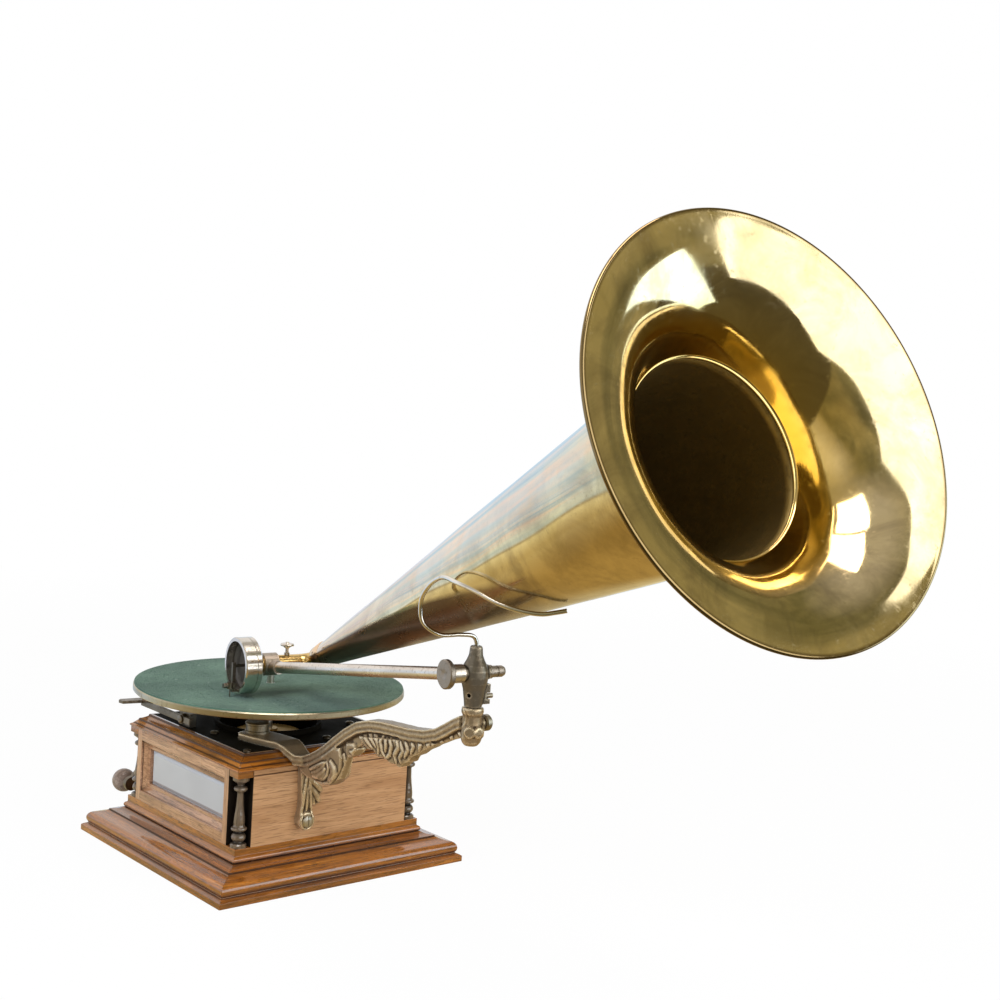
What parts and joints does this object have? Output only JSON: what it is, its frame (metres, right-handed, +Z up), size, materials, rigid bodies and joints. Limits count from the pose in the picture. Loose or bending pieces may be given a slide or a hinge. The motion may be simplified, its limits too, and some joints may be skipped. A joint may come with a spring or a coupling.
{
  "type": "disc phonograph",
  "caption": "Wind-up disc phonograph: oak case with turned corner columns, felt turntable, front bracket arm, sound box and a long brass horn.",
  "frame": {"origin": "centre of the case underside, on the table", "axes": "+X to the right along the front, +Y to the back, +Z up; the horn points towards -Y"},
  "size_m": [0.3478, 0.8688, 0.5776],
  "materials": {
    "oak_dark": "varnished",
    "oak_light": "varnished",
    "turned_dark": "satin",
    "pane": "bevelled",
    "black_iron": "black enamel",
    "steel": "bright",
    "spring_steel": "blued",
    "pad_leather": "worn",
    "platter_nickel": "aged nickel",
    "felt": "worn felt",
    "gear_brass": "cut",
    "knob_wood": "turned",
    "antique_cast": "antique nickel",
    "yoke_cast": "dull cast",
    "nickel": "aged nickel",
    "gasket": "matte",
    "horn_brass": "polished"
  },
  "bodies": {
    "case": {"base_moulding": "oak_dark", "bottom_board": "oak_light", "front_panel": "oak_light", "back_panel": "oak_light", "left_frame": "oak_dark", "right_frame": "oak_dark", "left_glass": "pane", "right_glass": "pane", "corner_posts": "turned_dark", "corner_columns": "turned_dark", "corner_caps": "oak_dark", "top_moulding": "oak_dark", "bedplate": "black_iron", "bed_screws": "steel", "motor_pillars": "black_iron", "motor_plate": "black_iron", "crank_hanger": "black_iron", "crank_bush": "gear_brass", "brake_post": "steel", "arm_bracket": "antique_cast", "bracket_nut": "antique_cast", "bracket_screw": "steel", "socket_screw": "antique_cast"},
    "brake": {"brake_lever": "steel", "brake_pad": "pad_leather"},
    "turntable": {"platter": "platter_nickel", "felt_mat": "felt", "spindle": "steel", "spindle_pinion": "gear_brass", "top_wheel": "gear_brass"},
    "train": {"train_arbor": "steel", "train_wheel": "gear_brass"},
    "barrel": {"barrel_drum": "gear_brass", "barrel_gear": "gear_brass", "mainspring": "spring_steel"},
    "winding": {"barrel_arbor": "steel", "crown_wheel": "gear_brass"},
    "governor": {"gov_arbor": "steel", "gov_pinion": "gear_brass", "gov_disc": "gear_brass", "gov_weights": "gear_brass", "gov_springs": "spring_steel"},
    "crank": {"crank_shaft": "steel", "wind_pinion": "gear_brass", "crank_arm": "steel"},
    "knob": {"crank_knob": "knob_wood"},
    "swivel": {"yoke": "yoke_cast", "yoke_latch": "yoke_cast", "crutch_wire": "nickel"},
    "arm": {"pivot_pin": "nickel", "pivot_nut": "nickel", "arm_tube": "nickel", "arm_collar": "nickel", "sound_tube": "horn_brass", "tube_screw": "nickel", "sound_box": "nickel", "box_inner": "gasket", "needle_bar": "steel", "horn_cone": "horn_brass", "horn_bell": "horn_brass"}
  },
  "joints": [
    {"name": "turntable_spin", "type": "hinge", "parent": "case", "child": "turntable", "pos_m": [-0.007, 0.002, 0.15], "axis": [0, 0, 1], "continuous": true},
    {"name": "train_spin", "type": "hinge", "parent": "case", "child": "train", "pos_m": [0.0083, 0.03787, 0.08], "axis": [0, 0, 1], "continuous": true},
    {"name": "barrel_spin", "type": "hinge", "parent": "case", "child": "barrel", "pos_m": [-0.03702, 0.04192, 0.055], "axis": [0, 0, 1], "continuous": true},
    {"name": "governor_spin", "type": "hinge", "parent": "case", "child": "governor", "pos_m": [-0.03246, -0.02346, 0.072], "axis": [0, 0, 1], "continuous": true},
    {"name": "crank_turn", "type": "hinge", "parent": "case", "child": "crank", "pos_m": [-0.03702, 0.12, 0.08466], "axis": [0, 1, 0], "continuous": true},
    {"name": "winding_turn", "type": "hinge", "parent": "case", "child": "winding", "pos_m": [-0.03702, 0.04192, 0.07], "axis": [0, 0, 1], "continuous": true},
    {"name": "knob_spin", "type": "hinge", "parent": "crank", "child": "knob", "pos_m": [-0.079, 0.147, 0.03769], "axis": [0, 1, 0], "continuous": true},
    {"name": "brake_swing", "type": "hinge", "parent": "case", "child": "brake", "pos_m": [-0.0845, 0.03, 0.127], "axis": [1, 0, 0], "range_deg": [-2, 1]},
    {"name": "arm_swivel", "type": "hinge", "parent": "case", "child": "swivel", "pos_m": [-0.036, -0.335, 0.2], "axis": [0, 0, 1], "range_deg": [-3, 45]},
    {"name": "arm_lift", "type": "hinge", "parent": "swivel", "child": "arm", "pos_m": [-0.036, -0.335, 0.235], "axis": [0.9903, -0.1392, 0], "range_deg": [0, 12], "deforming": ["crutch_wire"]}
  ],
  "couplings": [
    {"joint": "train_spin", "follows": "turntable_spin", "ratio": -0.2},
    {"joint": "barrel_spin", "follows": "turntable_spin", "ratio": 0.033333},
    {"joint": "governor_spin", "follows": "turntable_spin", "ratio": -5},
    {"joint": "winding_turn", "follows": "crank_turn", "ratio": 0.4375}
  ]
}
